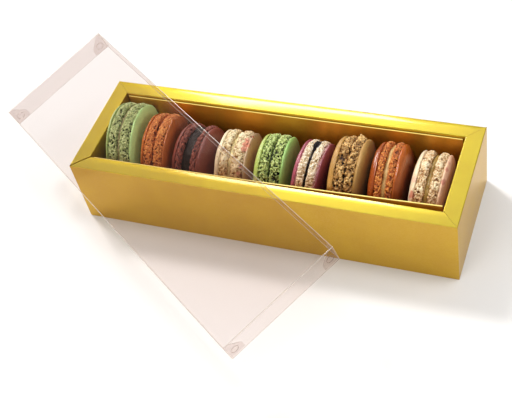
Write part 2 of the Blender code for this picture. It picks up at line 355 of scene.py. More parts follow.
class Surface:
    """Short ways to build the nodes of one material."""

    def __init__(self, name):
        self.material = bpy.data.materials.new(name)
        self.material.use_nodes = True
        self.tree = self.material.node_tree
        self.shader = self.tree.nodes["Principled BSDF"]
        self.output = self.tree.nodes["Material Output"]
        self.place = self.node("ShaderNodeTexCoord").outputs["Object"]

    def feed(self, socket, value):
        """Link a socket, or set what it holds."""
        if isinstance(value, bpy.types.NodeSocket):
            self.tree.links.new(value, socket)
        elif isinstance(value, tuple) and len(value) == 3 and socket.type == "RGBA":
            socket.default_value = (*value, 1.0)
        else:
            socket.default_value = value

    def node(self, kind, given=None, **choices):
        """A node with its choices made and its sockets given links or values."""
        made = self.tree.nodes.new(kind)
        for key, value in choices.items():
            setattr(made, key, value)
        for key, value in (given or {}).items():
            self.feed(made.inputs[key], value)
        return made

    def set(self, **given):
        """Feed sockets of the shader, named with underscores for spaces."""
        for key, value in given.items():
            self.feed(self.shader.inputs[key.replace("_", " ")], value)

    def attribute(self, name):
        return self.node("ShaderNodeAttribute", attribute_name=name).outputs["Fac"]

    def stretched(self, scale):
        """The object's own places, scaled on each axis."""
        return self.node("ShaderNodeMapping", {"Vector": self.place, "Scale": scale}).outputs["Vector"]

    def noise(self, size, detail=3.0, rough=0.5, place=None):
        """Noise whose features are about size metres across."""
        given = {"Vector": place or self.place, "Scale": 1.0 / size, "Detail": detail, "Roughness": rough}
        return self.node("ShaderNodeTexNoise", given).outputs["Fac"]

    def cells(self, size):
        """Distance from the middle of round cells about size metres across."""
        given = {"Vector": self.place, "Scale": 1.0 / size}
        return self.node("ShaderNodeTexVoronoi", given).outputs["Distance"]

    def between(self, value, low, high, to_low=0.0, to_high=1.0):
        """Smooth step of a value from low to high."""
        given = {"Value": value, "From Min": low, "From Max": high, "To Min": to_low, "To Max": to_high}
        return self.node("ShaderNodeMapRange", given, interpolation_type="SMOOTHSTEP").outputs["Result"]

    def maths(self, operation, first, second=0.0):
        return self.node("ShaderNodeMath", {0: first, 1: second}, operation=operation).outputs["Value"]

    def plus(self, first, second):
        return self.maths("ADD", first, second)

    def minus(self, first, second):
        return self.maths("SUBTRACT", first, second)

    def times(self, first, second):
        return self.maths("MULTIPLY", first, second)

    def mixed(self, share, first, second, blend="MIX"):
        """The first colour with a share of the second laid over it."""
        given = {"Factor": share, "A": first, "B": second}
        return self.node("ShaderNodeMix", given, data_type="RGBA", blend_type=blend).outputs["Result"]

    def layered(self, share, first, second):
        """The first shader with a share of the second over it."""
        return self.node("ShaderNodeMixShader", {"Fac": share, 1: first.outputs[0], 2: second.outputs[0]})

    def near(self, point, radius, soft):
        """1 within a radius of a point, falling to 0 over a soft edge."""
        made = self.node("ShaderNodeVectorMath", {0: self.place, 1: point}, operation="DISTANCE")
        return self.between(made.outputs["Value"], radius, radius + soft, 1.0, 0.0)

    def level(self):
        """Height above the table."""
        return self.node("ShaderNodeSeparateXYZ", {0: self.place}).outputs["Z"]

    def along(self, axis, start):
        """How far a place lies along an axis from a start."""
        made = self.node("ShaderNodeVectorMath", {0: self.place, 1: axis}, operation="DOT_PRODUCT")
        return self.minus(made.outputs["Value"], axis.dot(start))

    def bump(self, height, distance, strength):
        made = self.node("ShaderNodeBump", {"Height": height, "Distance": distance, "Strength": strength})
        self.set(Normal=made.outputs["Normal"])


def gilt_card(name, colour, rough, metal=0.86, coat=0.15, grainy=0.5, lip=None):
    """Satin metallic card, mottled and lacquered, with a bright cut edge above its lip, partly a painted
    highlight.
    """
    s = Surface(name)
    grain = s.noise(0.35 * MM, 4.0, 0.6, s.stretched((0.45, 1.0, 1.0)))
    cloud = s.noise(16 * MM, 3.0, 0.55)
    glint = (0.95, 0.74, 0.26)
    cut_edge_highlight = (1.0, 0.80, 0.20)
    tone = s.mixed(s.between(cloud, 0.3, 0.7), scaled(colour, (0.94, 0.90, 0.86)), colour)
    tone = s.mixed(s.between(grain, 0.35, 0.75, 0.0, 0.2 * grainy), tone, glint)
    # Above the lip the card shows its cut edge, made brighter as a painted highlight
    if lip is not None:
        cut = s.between(s.level(), lip - 0.30 * MM, lip - 0.12 * MM)
        tone = s.mixed(cut, tone, cut_edge_highlight)
        metal = s.times(s.minus(1.0, cut), metal)
    satin = s.plus(s.times(grain, 0.7), s.times(cloud, 0.3))
    s.set(Base_Color=tone, Metallic=metal, Coat_Weight=coat, Coat_Roughness=0.10, Coat_IOR=1.6)
    s.set(Roughness=s.between(satin, 0.3, 0.7, rough - 0.08 * grainy, rough + 0.12 * grainy))
    s.bump(grain, 0.03 * MM, grainy)
    return s.material


def cap_tone(s, cake, broad, fine, dust):
    """Colour of the smooth cap, mottled and dusty."""
    tone = s.mixed(s.between(broad, 0.35, 0.68), scaled(cake.cap, 0.84), cake.cap)
    tone = s.mixed(s.between(fine, 0.40, 0.66, 0.30, 0.0), tone, scaled(cake.cap, 0.72))
    return s.mixed(s.between(dust, 0.45, 0.8, 0.0, 0.22), tone, cake.crumb)


def foot_tone(s, cake, fine, grains, dots):
    """Crumbs lighter on the raised parts, partly painted light; darker creases between them, and small holes
    and the deep pits of the mesh, as painted shade.
    """
    relief = s.attribute("relief")
    lump = s.minus(s.plus(s.times(fine, 0.7), s.times(relief, 0.45)), s.times(grains, 0.5))
    pale = max(cake.foot_colour) > 0.7
    # Painted shade: the creases between the crumbs take a darker copy of the foot colour
    crease = scaled(cake.foot_colour, (0.58, 0.44, 0.30) if pale else 0.66)
    tone = s.mixed(s.between(lump, -0.25, 0.14 if pale else 0.08), crease, cake.foot_colour)
    # The raised crumbs take the crumb colour, partly their own colour and partly painted light
    tone = s.mixed(s.between(lump, 0.02, 0.30), tone, cake.crumb)
    # Pale feet turn darker and browner towards the bottom
    if pale:
        browner_low_down = s.between(s.level(), 30 * MM, 39 * MM, 0.85, 0.0)
        tone = s.mixed(browner_low_down, tone, (0.78, 0.60, 0.38), "MULTIPLY")
    # Painted shade: the deepest pits of the mesh and the small holes take the dark pit colour
    floor = -(0.9 * cake.relief + 0.35 * cake.pit_depth) / MM
    uneven = s.plus(relief, s.times(s.minus(fine, 0.5), 0.4))
    deep = s.between(uneven, floor, 0.5 * floor, 1.0, 0.0)
    return s.mixed(s.maths("MAXIMUM", deep, s.times(dots, 0.9)), tone, cake.pit)


def crust(cake):
    """Baked shell: smooth cap, crumbly foot with dark pits, following the relief of the mesh; pits, creases
    and low right sides are painted shade, raised crumbs partly painted light.
    """
    s = Surface(f"crust_{cake.flavour}")
    foot = s.between(s.attribute("foot"), 0.25, 0.75)
    broad = s.noise(5 * MM, 4.0, 0.6)
    fine = s.noise(0.9 * MM, 5.0, 0.65)
    dust = s.noise(0.28 * MM, 3.0, 0.7)
    grains = s.cells(0.62 * cake.crumb_size)
    patch = s.between(s.noise(2.6 * MM, 2.0, 0.5), 0.62 - 0.50 * cake.pits, 0.70 - 0.50 * cake.pits)
    # Small holes that the mesh lacks: bumped in, and painted dark as painted shade
    holes = s.plus(s.cells(1.25 * MM), s.times(fine, 0.25))
    dots = s.times(s.between(holes, 0.25, 0.33, 1.0, 0.0), patch)
    tone = s.mixed(foot, cap_tone(s, cake, broad, fine, dust), foot_tone(s, cake, fine, grains, dots))
    # Painted shade: the sides that face right get a deeper, darker tone low down, and are duller there
    half = cake.filling / 2
    right = s.along(cake.matrix.to_3x3() @ Vector((0.0, 0.0, 1.0)), cake.matrix.translation)
    low = s.times(s.between(s.level(), 27 * MM, 49 * MM, 1.0, 0.0),
                  s.between(right, half + 0.8 * cake.foot, half + 1.5 * cake.foot))
    tone = s.mixed(low, tone, PAINTED_SHADE_LOW_RIGHT[cake.flavour], "MULTIPLY")
    dull = s.plus(s.between(foot, 0.0, 1.0, cake.gloss, 0.80), s.times(low, 0.15))
    s.set(Base_Color=flavoured(s, cake, tone, right), Roughness=dull, Specular_IOR_Level=0.45)
    s.set(Subsurface_Weight=0.06, Subsurface_Radius=(1.0, 0.5, 0.25), Subsurface_Scale=1.2 * MM)
    height = s.minus(s.times(fine, 0.8), s.times(s.plus(s.times(grains, 0.9), dots), foot))
    height = s.plus(s.times(height, s.between(foot, 0.0, 1.0, 0.17, 1.0)),
                    s.times(dust, s.between(foot, 0.0, 1.0, 0.06, 0.22)))
    height = s.plus(height, s.times(broad, s.between(foot, 0.0, 1.0, 1.2, 0.0)))
    s.bump(height, 0.45 * MM, 0.8)
    return s.material


def on_rim(cake, angle, height, share=1.0):
    """A point on a macaron's rim: angle from its top towards the front, height along its axis."""
    turn = math.radians(angle)
    reach = cake.radius * share
    return cake.matrix @ Vector((-reach * math.cos(turn), -reach * math.sin(turn), height))


def flavoured(s, cake, tone, right):
    """What only some flavours have: caps of another tone, partly painted light, fruit stains, specks and a
    filling pressed out.
    """
    ragged = s.noise(1.8 * MM, 4.0, 0.65)
    foot_end = cake.filling / 2 + cake.foot
    if cake.flavour in LEFT_CAP:
        left = s.between(right, -foot_end - 0.3 * MM, -foot_end + 0.1 * MM, 1.0, 0.0)
        tone = s.mixed(left, tone, LEFT_CAP[cake.flavour], "MULTIPLY")
    # Right caps retinted and made lighter, partly their own tone and partly painted light for the light and
    # sheen on them
    if cake.flavour in RIGHT_CAP_TONE_AND_PAINTED_LIGHT:
        cap_start = foot_end + cake.spread["right"]
        cap = s.between(right, cap_start - 0.3 * MM, cap_start + 0.3 * MM)
        tone = s.mixed(cap, tone, RIGHT_CAP_TONE_AND_PAINTED_LIGHT[cake.flavour], "MULTIPLY")
    if cake.flavour in STAINS:
        tone = stained(s, cake, tone, right, ragged)
    if cake.flavour == "vanilla":
        specks = s.between(s.cells(2.6 * MM), 0.10, 0.17, 1.0, 0.0)
        tone = s.mixed(s.times(specks, s.between(s.noise(6 * MM), 0.48, 0.56)), tone, (0.30, 0.07, 0.03))
    if cake.flavour == "plum":
        tone = pressed_out(s, cake, tone, right, ragged)
    return tone


def stained(s, cake, tone, right, ragged):
    """Fruit stains: a blush over the right cap, on vanilla partly painted shade, and spots around the rims.
    """
    fruit = STAINS[cake.flavour]
    half = cake.filling / 2
    # The blush: partly a stain, and on vanilla partly painted shade on the face of the right cap
    frayed, start, stop, strength, colour = fruit["blush"]
    blush = s.between(s.plus(right, s.times(ragged, frayed * MM)),
                      half + cake.foot + start * MM, half + cake.foot + stop * MM)
    tone = s.mixed(s.times(blush, strength), tone, colour)
    soft, frayed, start, strength = fruit["spot"]
    for angle, height, size, colour in fruit["spots"]:
        point = on_rim(cake, angle, math.copysign(half + abs(height) * MM, height))
        spot = s.near(point, size * SPOT_CORE * MM, size * soft * MM)
        stain = s.between(s.plus(spot, s.times(ragged, frayed)), start, start + SPOT_EDGE)
        tone = s.mixed(s.times(stain, strength), tone, colour)
    return tone


def pressed_out(s, cake, tone, right, ragged):
    """Crumb tinged at the cap, and the dark filling pressed out along the joint, most of it at the top."""
    bleed = s.between(s.plus(s.attribute("seam"), s.minus(ragged, 0.5)), 0.45, 0.95)
    tone = s.mixed(s.times(bleed, 0.4), tone, (0.66, 0.22, 0.30))
    blob = s.near(on_rim(cake, -24, 0.6 * MM), 1.0 * MM, 5.0 * MM)
    width = s.plus(s.times(blob, 1.2 * MM), s.times(ragged, 0.5 * MM))
    over = s.minus(width, s.maths("ABSOLUTE", right))
    return s.mixed(s.between(over, -0.45 * MM, -0.25 * MM), tone, cake.cream)


def cream(cake):
    """Soft filling with a faint satin gloss, duller where it is dark."""
    s = Surface(f"cream_{cake.flavour}")
    broad = s.noise(3.5 * MM, 4.0, 0.6)
    fine = s.noise(0.7 * MM, 3.0, 0.6)
    tone = s.mixed(s.between(broad, 0.3, 0.7), scaled(cake.cream, 0.70), cake.cream)
    tone = s.mixed(s.between(fine, 0.5, 0.8, 0.0, 0.25), tone, scaled(cake.cream, 1.25))
    gloss = 0.15 if max(cake.cream) < 0.1 else 0.40
    s.set(Base_Color=tone, Roughness=s.between(broad, 0.3, 0.7, 0.38, 0.60), Specular_IOR_Level=gloss)
    s.set(Subsurface_Weight=0.10, Subsurface_Radius=(1.0, 0.6, 0.35), Subsurface_Scale=1.5 * MM)
    s.bump(s.plus(broad, s.times(fine, 0.3)), 0.4 * MM, 0.6)
    return s.material


def clear_film(name, through, gloss, haze):
    """Thin clear film: what is behind shows faintly tinted, with a gloss that grows at a slant."""
    s = Surface(name)
    s.tree.nodes.remove(s.shader)
    tint = s.node("ShaderNodeBsdfTransparent", {"Color": through})
    shine = s.node("ShaderNodeBsdfAnisotropic", {"Color": (1.0, 0.985, 0.97), "Roughness": 0.05})
    cloud = s.node("ShaderNodeBsdfDiffuse", {"Color": (0.80, 0.72, 0.66)})
    slant = s.node("ShaderNodeLayerWeight", {"Blend": 0.5}).outputs["Facing"]
    amount = s.between(s.maths("POWER", slant, 4.0), 0.0, 1.0, gloss, 0.16)
    film = s.layered(amount, s.layered(haze, tint, cloud), shine)
    s.feed(s.output.inputs["Surface"], film.outputs[0])
    return s.material


# Settings shown in the panel

COLOUR = {"subtype": "COLOR", "size": 3, "min": 0.0, "max": 1.0}
LENGTH = {"subtype": "DISTANCE", "unit": "LENGTH", "min": 0.0}
SHARE = {"subtype": "FACTOR", "min": 0.0}

BOX_SETTINGS = ("gilt", "gilt_walls_painted_shade", "liner", "gilt_rough", "crease", "rim_roll", "film_tint", "floor")
CAKE_COLOURS = ("cap", "foot_colour", "crumb", "pit", "cream")
CAKE_SIZES = ("relief", "pit_depth", "pits")


class FlavourSettings(bpy.types.PropertyGroup):
    """Colours and relief of one macaron."""

    name: StringProperty(name="Flavour", description="Which macaron these settings dress", default="plain")
    cap: FloatVectorProperty(name="Cap", description="Colour of the smooth cap",
                             default=(0.6, 0.5, 0.3), **COLOUR)
    foot_colour: FloatVectorProperty(name="Foot", description="Colour of the crumbly foot",
                                     default=(0.6, 0.5, 0.3), **COLOUR)
    # Partly painted light: the raised crumbs of the foot take this colour, and so does the dust on the cap
    crumb: FloatVectorProperty(name="Crumb", description="Colour of the raised crumbs",
                               default=(0.8, 0.7, 0.5), **COLOUR)
    # Painted shade: the deep pits and the small holes of the foot take this colour
    pit: FloatVectorProperty(name="Pit", description="Colour deep in the pits",
                             default=(0.1, 0.05, 0.02), **COLOUR)
    cream: FloatVectorProperty(name="Filling", description="Colour of the filling",
                               default=(0.8, 0.7, 0.4), **COLOUR)
    relief: FloatProperty(name="Crumb height", description="How far the crumbs stand out",
                          max=0.003, default=0.0007, **LENGTH)
    pit_depth: FloatProperty(name="Pit depth", description="How deep the pits go",
                             max=0.003, default=0.001, **LENGTH)
    pits: FloatProperty(name="Pitted share", description="Share of the foot that is pitted",
                        max=0.6, default=0.2, **SHARE)


class MacaronBoxSettings(bpy.types.PropertyGroup):
    """Sizes and colours of the box, its lid and the stage."""

    gilt: FloatVectorProperty(name="Gilt", description="Colour of the card's metal face",
                              default=(0.58, 0.442, 0.005), **COLOUR)
    # Painted shade: the upright walls take this deeper, more orange copy of the rim's gilt
    gilt_walls_painted_shade: FloatVectorProperty(name="Gilt walls", description="Deeper tone of the upright walls",
                                    default=(0.59, 0.352, 0.015), **COLOUR)
    # Painted light: the liner's gilt is deeper and more orange, standing in for warm light bounced between
    # the gold walls
    liner: FloatVectorProperty(name="Liner", description="Colour of the folded liner",
                               default=(0.92, 0.44, 0.042), **COLOUR)
    gilt_rough: FloatProperty(name="Gilt roughness", description="How satin the card is",
                              max=1.0, default=0.36, **SHARE)
    crease: FloatProperty(name="Crease", description="Radius of the folded edges",
                          max=0.002, default=0.0004, **LENGTH)
    rim_roll: FloatProperty(name="Rim roll", description="How far the long rims drop at their far edge",
                            max=0.002, default=0.00038, **LENGTH)
    film_tint: FloatVectorProperty(name="Film tint", description="What one face of the film lets through",
                                   default=(0.940, 0.914, 0.906), **COLOUR)
    floor: FloatVectorProperty(name="Floor", description="Colour of the plain floor",
                               default=(0.71, 0.71, 0.72), **COLOUR)
    flavours: CollectionProperty(name="Flavours", description="The macarons from left to right",
                                 type=FlavourSettings)


def settings():
    return bpy.context.scene.macaron_box


# Box

def side_block(name, along, near, far, gap_low, gap_high, roll):
    """One wide wall with mitred ends, along X or Y. near is its outer face, far its inner one."""
    axis = 1 if along == "X" else 0
    half = (BOX_LENGTH if along == "X" else BOX_DEPTH) / 2
    centre = Vector((0.0, 0.0, BOX_HEIGHT / 2))
    centre[axis] = (near + far) / 2
    size = Vector((2 * half, 2 * half, BOX_HEIGHT))
    size[axis] = abs(far - near)
    wall = block(name, centre, size)
    # Lines along the rim, so that its half towards +X or +Y can roll down
    start, stop = sorted((near, far))
    across = [0.0, 0.0, 0.0]
    across[axis] = 1.0
    for share in (0.5, 0.62, 0.74, 0.86):
        point = [0.0, 0.0, 0.0]
        point[axis] = start + (stop - start) * share
        edit_all()
        bpy.ops.mesh.bisect(plane_co=point, plane_no=across)
    for share in (0.62, 0.74, 0.86, 1.0):
        line = start + (stop - start) * share
        pick(wall, "VERT", lambda co, line=line: abs(co[axis] - line) < NEAR and co.z > BOX_HEIGHT - NEAR)
        drop = roll * ((share - 0.5) / 0.5) ** 2
        bpy.ops.transform.translate(value=(0.0, 0.0, -drop))
    pick(wall, "EDGE", lambda a, b: min(a.z, b.z) > BOX_HEIGHT - 2 * MM
         and abs(a[axis] - b[axis]) < NEAR and min(abs(a[axis] - near), abs(a[axis] - far)) < NEAR)
    bpy.ops.mesh.bevel(offset=settings().crease, segments=5, profile=0.5, affect="EDGES")
    # Mitres at both ends, each cut back by half its gap
    inner = -1 if near > 0 else 1
    for end, gap in ((-1, gap_low), (1, gap_high)):
        corner = [near, near, 0.0]
        corner[1 - axis] = end * (half - gap)
        beyond = [inner, inner, 0.0]
        beyond[1 - axis] = end
        edit_all()
        bpy.ops.mesh.bisect(plane_co=corner, plane_no=Vector(beyond).normalized(), use_fill=True,
                            clear_outer=True)
    turn_outward()
    return wall


class MACARONBOX_OT_box(bpy.types.Operator):
    """Fold the open box from four mitred walls and a floor"""

    bl_idname = "macaronbox.box"
    bl_label = "Gilt box"

    def execute(self, context):
        s = settings()
        hair = 0.07 * MM
        half_y = BOX_DEPTH / 2
        half_x = BOX_LENGTH / 2
        walls = [
            side_block("front", "X", -half_y, -half_y + RIM_WIDTH, 0.5 * MM, hair, s.rim_roll),
            side_block("back", "X", half_y, half_y - RIM_WIDTH, hair, hair, s.rim_roll),
            side_block("left", "Y", -half_x, -half_x + RIM_WIDTH, 0.35 * MM, hair, 0.12 * MM),
            side_block("right", "Y", half_x, half_x - RIM_WIDTH, hair, hair, 0.0),
        ]
        tuck = 2 * RIM_WIDTH - 0.4 * MM
        base = block("floor_card", (0.0, 0.0, FLOOR / 2), (BOX_LENGTH - tuck, BOX_DEPTH - tuck, FLOOR))
        pick(base, "FACE", lambda centre, normal: normal.z < -0.9)
        bpy.ops.mesh.inset(thickness=6 * MM)
        bpy.ops.transform.translate(value=(0.0, 0.0, 0.15 * MM))
        object_mode()
        box = joined("gilt_box", walls + [base])
        only(box)
        bpy.ops.object.shade_smooth_by_angle(angle=math.radians(6))
        # Painted shade: the upright walls get the deeper copy of the gilt, the upward rim faces the lighter
        # one
        dress(box, gilt_card("gilt_wall", tuple(s.gilt_walls_painted_shade), s.gilt_rough, metal=0.68),
              gilt_card("gilt_rim", tuple(s.gilt), s.gilt_rough, coat=0.85, grainy=0.1))
        for face in box.data.polygons:
            face.material_index = 1 if face.normal.z > 0.5 and face.center.z > BOX_HEIGHT - RIM_WIDTH else 0
        assign(box, ["frame"])
        return {"FINISHED"}


class MACARONBOX_OT_liner(bpy.types.Operator):
    """Give the folded liner its gilt card"""

    bl_idname = "macaronbox.liner"
    bl_label = "Liner"

    def execute(self, context):
        s = settings()
        lip = BOX_HEIGHT - LINER_DROP
        # The liner's more orange gilt is painted light: the warm bounce between the gold walls
        dress(frame["nodes"]["liner"], gilt_card("liner_card", tuple(s.liner), s.gilt_rough, 0.55, lip=lip))
        return {"FINISHED"}


# Macarons

def shell_profile():
    """Radius and height of every ring of the template shell, from its flat face to the cap's middle."""
    r, f, d = TEMPLATE_RADIUS, TEMPLATE_FOOT, TEMPLATE_DOME
    shares = np.array([(0.0, 0.925), (0.04, 0.965), (0.11, 0.988), (0.25, 1.002), (0.45, 1.008),
                       (0.62, 1.004), (0.76, 0.994), (0.88, 0.976), (0.95, 0.958), (1.0, 0.946)])
    steps = np.linspace(0.0, 1.0, FOOT_RINGS)
    rings = [(r * float(np.interp(t, shares[:, 0], shares[:, 1])), f * float(t)) for t in steps]
    for share, reach in ((0.025, 0.962), (0.06, 0.978), (0.12, 0.986), (0.20, 0.986), (0.30, 0.978),
                         (0.42, 0.956), (0.54, 0.922), (0.66, 0.868), (0.76, 0.796), (0.84, 0.710),
                         (0.90, 0.610), (0.945, 0.47), (0.98, 0.29), (0.995, 0.14)):
        rings.append((r * reach, f + d * share))
    return rings


def turned(name, rings, around, last_height):
    """A closed turned shape: a disc whose rim is extruded ring by ring and drawn to a pole."""
    deselect()
    radius, height = rings[0]
    bpy.ops.mesh.primitive_circle_add(vertices=around, radius=radius, fill_type="TRIFAN", location=ORIGIN)
    shape = added(name)
    edit_all()
    bpy.ops.mesh.select_mode(type="VERT")
    bpy.ops.transform.translate(value=(0.0, 0.0, height))
    bpy.ops.mesh.select_all(action="DESELECT")
    bpy.ops.mesh.select_non_manifold()
    for (r0, z0), (r1, z1) in zip(rings, rings[1:] + [(None, last_height)]):
        bpy.ops.mesh.extrude_region_move(TRANSFORM_OT_translate={"value": (0.0, 0.0, z1 - z0)})
        if r1 is None:
            bpy.ops.mesh.merge(type="CENTER")
        else:
            bpy.ops.transform.resize(value=(r1 / r0, r1 / r0, 1.0), center_override=(0.0, 0.0, z1))
    turn_outward()
    return shape


def weigh(shape, name, weight):
    """A vertex group from a weight by radius and height."""
    group = shape.vertex_groups.new(name=name)
    for v in shape.data.vertices:
        value = weight(v.co.xy.length, v.co.z)
        if value > 0.0:
            group.add([v.index], min(1.0, value), "REPLACE")


def ramped(value, low, high):
    return min(1.0, max(0.0, (value - low) / (high - low)))


def shell_template():
    """The shell that all others are copied from, with groups for its foot, seam, cap and rim."""
    shape = turned("shell_template", shell_profile(), AROUND, TEMPLATE_FOOT + TEMPLATE_DOME)
    f, d, r = TEMPLATE_FOOT, TEMPLATE_DOME, TEMPLATE_RADIUS
    weigh(shape, "foot", lambda reach, z: ramped(reach, 0.89 * r, 0.93 * r)
          * (1 - ramped(z, 0.94 * f, f + 0.05 * d)))
    weigh(shape, "seam", lambda reach, z: ramped(z, 0.66 * f, 0.86 * f)
          * (1 - ramped(z, 0.98 * f, f + 0.06 * d)))
    weigh(shape, "cap", lambda reach, z: ramped(z, 0.95 * f, f + 0.1 * d))
    weigh(shape, "rim", lambda reach, z: ramped(reach, 0.7 * r, 0.9 * r))
    return shape


def texture(name, kind, size, **extra):
    """A procedural texture for relief, with features about size metres across."""
    made = bpy.data.textures.get(name)
    if made is None:
        made = bpy.data.textures.new(name, kind)
        made.noise_scale = size
        for key, value in extra.items():
            setattr(made, key, value)
    return made


def pit_texture(share):
    """Mostly flat, with sharp holes over about this share of the surface."""
    made = texture(f"pits_{round(share * 100)}", "CLOUDS", 1.1 * MM, noise_depth=1)
    if not made.use_color_ramp:
        made.use_color_ramp = True
        ramp = made.color_ramp
        ramp.elements[0].position = 0.64 - 0.34 * share
        ramp.elements[0].color = (0.0, 0.0, 0.0, 1.0)
        ramp.elements[1].position = 0.82 - 0.34 * share
        ramp.elements[1].color = (1.0, 1.0, 1.0, 1.0)
    return made


def relief_steps(cake):
    """Texture, strength, middle level and group of each layer of relief."""
    size = cake.crumb_size
    ripple = texture(f"{cake.flavour}_ripple", "CLOUDS", 2.4 * size, noise_depth=1)
    crumbs = texture(f"{cake.flavour}_crumbs", "VORONOI", size, distance_metric="DISTANCE_SQUARED")
    grain = texture(f"{cake.flavour}_grain", "CLOUDS", 0.5 * size, noise_depth=1)
    return (
        (texture("swell", "CLOUDS", 9 * MM, noise_depth=1), 0.7 * MM, 0.5, "rim"),
        (ripple, 1.0 * cake.relief, 0.5, "foot"),
        (crumbs, -2.0 * cake.relief, 0.24, "foot"),
        (grain, 0.55 * cake.relief, 0.5, "foot"),
        (pit_texture(cake.pits), -cake.pit_depth, 0.0, "foot"),
        (pit_texture(min(0.6, cake.pits * 1.5)), -0.9 * cake.pit_depth, 0.0, "seam"),
        (texture("cap_dimple", "CLOUDS", 2.4 * MM, noise_depth=2), 0.16 * MM, 0.5, "cap"),
    )


def roughen(shape, pattern, strength, middle, group):
    """Raise and sink a group of a piece by a texture."""
    apply_modifier(shape, "DISPLACE", texture=pattern, strength=strength, mid_level=middle,
                   vertex_group=group, texture_coords="LOCAL")


def values_of(shape, key):
    """The place or the normal of every point, one row each."""
    flat = np.zeros(len(shape.data.vertices) * 3, np.float32)
    shape.data.vertices.foreach_get(key, flat)
    return flat.reshape(-1, 3)


def keep_weights(shape, relief):
    """Store the foot, the seam and the depth of relief, in millimetres, for the material."""
    layers = {"relief": relief}
    for name in ("foot", "seam"):
        group = shape.vertex_groups[name].index
        layers[name] = np.zeros(len(relief), np.float32)
        for v in shape.data.vertices:
            for g in v.groups:
                if g.group == group:
                    layers[name][v.index] = g.weight
    shape.vertex_groups.clear()
    for name, values in layers.items():
        shape.data.attributes.new(name, "FLOAT", "POINT").data.foreach_set("value", values)


def raise_lump(shape, cake, side, angle, height, size, lift):
    """Pull one soft lump out of a shell: angle from the top towards the front, height from the filling."""
    axial = (cake.filling / 2 + height * MM) * (1.0 if side == "right" else -1.0)
    spot = on_rim(cake, angle, axial)
    out = (spot - on_rim(cake, angle, axial, 0.0)).normalized()
    nearest = int(((values_of(shape, "co") - np.array(spot)) ** 2).sum(1).argmin())
    place = shape.data.vertices[nearest].co.copy()
    pick(shape, "VERT", lambda co: co == place)
    bpy.ops.transform.translate(value=out * lift * MM, use_proportional_edit=True,
                                proportional_edit_falloff="SMOOTH", proportional_size=size * MM)
    object_mode()


def make_shell(template, cake, side):
    """Copy the template, fit it to one macaron's layers, stand it in place and roughen it."""
    shape = template.copy()
    shape.data = template.data.copy()
    bpy.context.scene.collection.objects.link(shape)
    only(shape)
    wide = cake.radius / TEMPLATE_RADIUS
    foot = cake.foot + cake.spread[side]
    dome = cake.dome - cake.spread[side]
    pick(shape, "VERT", lambda co: True)
    bpy.ops.transform.resize(value=(wide * cake.tall, wide, foot / TEMPLATE_FOOT), center_override=ORIGIN)
    pick(shape, "VERT", lambda co: co.z > foot + 1e-7)
    tall = (dome / TEMPLATE_DOME) / (foot / TEMPLATE_FOOT)
    bpy.ops.transform.resize(value=(1.0, 1.0, tall), center_override=(0.0, 0.0, foot))
    object_mode()
    outward = Matrix.Translation((0.0, 0.0, cake.filling / 2 + 0.1 * MM))
    if side == "left":
        outward = Matrix.Rotation(math.pi, 4, "X") @ outward
    settle(shape, cake.matrix @ outward)
    swell, *crumbs = relief_steps(cake)
    roughen(shape, *swell)
    before = values_of(shape, "co")
    normals = values_of(shape, "normal")
    for layer in crumbs:
        roughen(shape, *layer)
    for lump in cake.lumps.get(side, ()):
        raise_lump(shape, cake, side, *lump)
    depth = ((values_of(shape, "co") - before) * normals).sum(1) / MM
    keep_weights(shape, depth.astype(np.float32))
    only(shape)
    bpy.ops.object.shade_smooth()
    shape.name = f"macaron_{CAKES.index(cake) + 1}_{side}"
    shape.data.name = shape.name
    return shape


def make_filling(cake):
    """The filling: a disc with a soft uneven edge that fills the gap between two shells."""
    half = cake.filling / 2 + 0.25 * MM
    r = cake.radius
    edge = cake.edge
    shares = ((0.80, -1.0), (0.86, -1.0), (edge - 0.012, -0.9), (edge, -0.55), (edge + 0.012, -0.2),
              (edge + 0.012, 0.2), (edge, 0.55), (edge - 0.012, 0.9), (0.86, 1.0), (0.5, 1.0))
    rings = [(r * reach, half * height) for reach, height in shares]
    shape = turned(f"macaron_{CAKES.index(cake) + 1}_cream", rings, AROUND_FILLING, half)
    weigh(shape, "edge", lambda reach, z: ramped(reach, 0.80 * r, 0.88 * r))
    settle(shape, cake.matrix @ Matrix.Diagonal((cake.tall, 1.0, 1.0, 1.0)))
    roughen(shape, texture("cream_swell", "CLOUDS", 5 * MM, noise_depth=1), 1.3 * MM, 0.5, "edge")
    roughen(shape, texture("cream_fine", "CLOUDS", 1.3 * MM, noise_depth=1), 0.35 * MM, 0.5, "edge")
    shape.vertex_groups.clear()
    only(shape)
    bpy.ops.object.shade_smooth()
    return shape


class MACARONBOX_OT_macarons(bpy.types.Operator):
    """Bake the nine macarons: two shells and a filling each"""

    bl_idname = "macaronbox.macarons"
    bl_label = "Macarons"

    def execute(self, context):
        template = shell_template()
        for number, cake in enumerate(CAKES, start=1):
            look = settings().flavours[cake.flavour]
            for key in CAKE_COLOURS:
                setattr(cake, key, tuple(getattr(look, key)))
            for key in CAKE_SIZES:
                setattr(cake, key, getattr(look, key))
            surface = crust(cake)
            for side in ("right", "left"):
                shell = make_shell(template, cake, side)
                dress(shell, surface)
                assign(shell, [f"macaron_{number}_{side}_shell"])
            filling = make_filling(cake)
            dress(filling, cream(cake))
            assign(filling, [f"macaron_{number}_filling"])
        bpy.data.objects.remove(template, do_unlink=True)
        return {"FINISHED"}


# Lid

